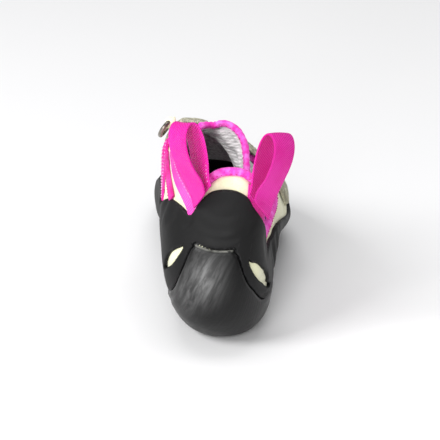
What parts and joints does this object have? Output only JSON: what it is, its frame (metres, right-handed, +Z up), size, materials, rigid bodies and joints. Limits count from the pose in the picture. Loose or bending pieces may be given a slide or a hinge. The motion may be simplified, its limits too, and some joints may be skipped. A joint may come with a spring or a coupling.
{
  "type": "climbing shoe",
  "caption": "Downturned climbing shoe with a bent arch, rubber heel cup, sling rand with side windows, strap closure over a padded tongue, and webbing pull loops at the heel.",
  "frame": {"origin": "bottom centre of the shoe's box, on the floor", "axes": "+Y to the toe, +X to the outer side of the right foot, +Z up"},
  "size_m": [0.0854, 0.2316, 0.1329],
  "materials": {
    "upper_leather": "soft napped synthetic leather, pale cream",
    "rand_rubber": "matte black rubber",
    "cup_rubber": "satin black rubber",
    "webbing": "ribbed pink webbing",
    "strap_fabric": "grey-cream knitted strap",
    "binding": "pink stitched binding",
    "lining": "light grey ribbed knit",
    "insole": "dark napped insole",
    "ring": "dark metal ring"
  },
  "bodies": {
    "root": {"upper": "upper_leather", "outsole": "cup_rubber", "heel_cup": "cup_rubber", "sling_rand": "rand_rubber", "toe_rand": "rand_rubber", "tongue": "lining", "insole": "insole", "collar_binding": "binding", "collar_binding_medial": "binding", "tongue_binding": "binding", "fork_strap_rear": "webbing", "fork_strap_middle": "webbing", "fork_strap_front": "webbing", "closure_strap": "strap_fabric", "d_ring": "ring", "pull_loop_medial": "webbing", "pull_loop_lateral": "webbing"}
  },
  "joints": []
}
